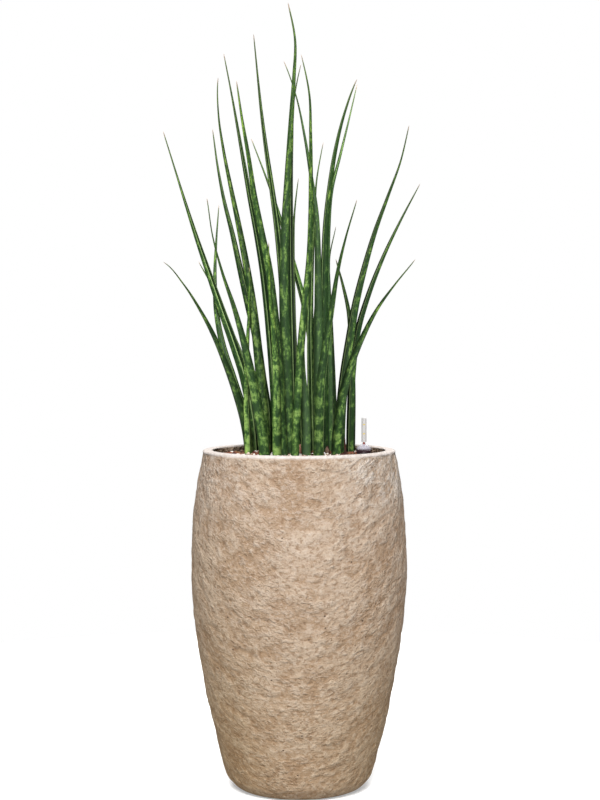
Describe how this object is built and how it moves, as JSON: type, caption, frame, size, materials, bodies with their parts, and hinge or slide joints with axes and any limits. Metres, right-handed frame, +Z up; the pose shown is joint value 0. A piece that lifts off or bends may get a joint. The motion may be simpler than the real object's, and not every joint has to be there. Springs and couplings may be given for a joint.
{
  "type": "cylindrical snake plant in a planter",
  "caption": "Cylindrical snake plant: tall slender round leaves in a barrel-shaped rock-faced planter with substrate and a water gauge whose float slides.",
  "frame": {"origin": "middle of the planter's flat resting face, on the planter's axis", "axes": "+Z up along the planter's axis and towards the leaf tips; -Y is the side seen in the picture, +X to its right, towards the water gauge"},
  "size_m": [0.519, 0.4342, 1.564],
  "materials": {
    "planter_stone": "matte",
    "substrate": "matte",
    "leaf": "satin",
    "dry_sheath": "matte",
    "gauge_dark": "gloss",
    "gauge_clear": "gloss",
    "gauge_red": "satin"
  },
  "bodies": {
    "planter": {"planter": "planter_stone", "substrate": "substrate", "leaf_01": "leaf", "leaf_02": "leaf", "leaf_03": "leaf", "leaf_04": "leaf", "leaf_05": "leaf", "leaf_06": "leaf", "leaf_07": "leaf", "leaf_08": "leaf", "leaf_09": "leaf", "leaf_10": "leaf", "leaf_11": "leaf", "leaf_12": "leaf", "leaf_13": "leaf", "leaf_14": "leaf", "leaf_15": "leaf", "leaf_16": "leaf", "leaf_17": "leaf", "leaf_18": "leaf", "leaf_19": "leaf", "leaf_20": "leaf", "leaf_21": "leaf", "leaf_22": "leaf", "leaf_23": "leaf", "leaf_24": "leaf", "leaf_25": "leaf", "leaf_26": "leaf", "leaf_27": "leaf", "leaf_28": "leaf", "leaf_29": "leaf", "leaf_30": "leaf", "leaf_31": "leaf", "sheath_1": "dry_sheath", "sheath_2": "dry_sheath", "sheath_3": "dry_sheath", "sheath_4": "dry_sheath", "sheath_5": "dry_sheath", "gauge_pipe": "gauge_dark", "gauge_sight_tube": "gauge_clear"},
    "float": {"gauge_float": "gauge_red"}
  },
  "joints": [
    {"name": "float_slide", "type": "slide", "parent": "planter", "child": "float", "axis": [0, 0, 1], "range_m": [0, 0.042]}
  ]
}
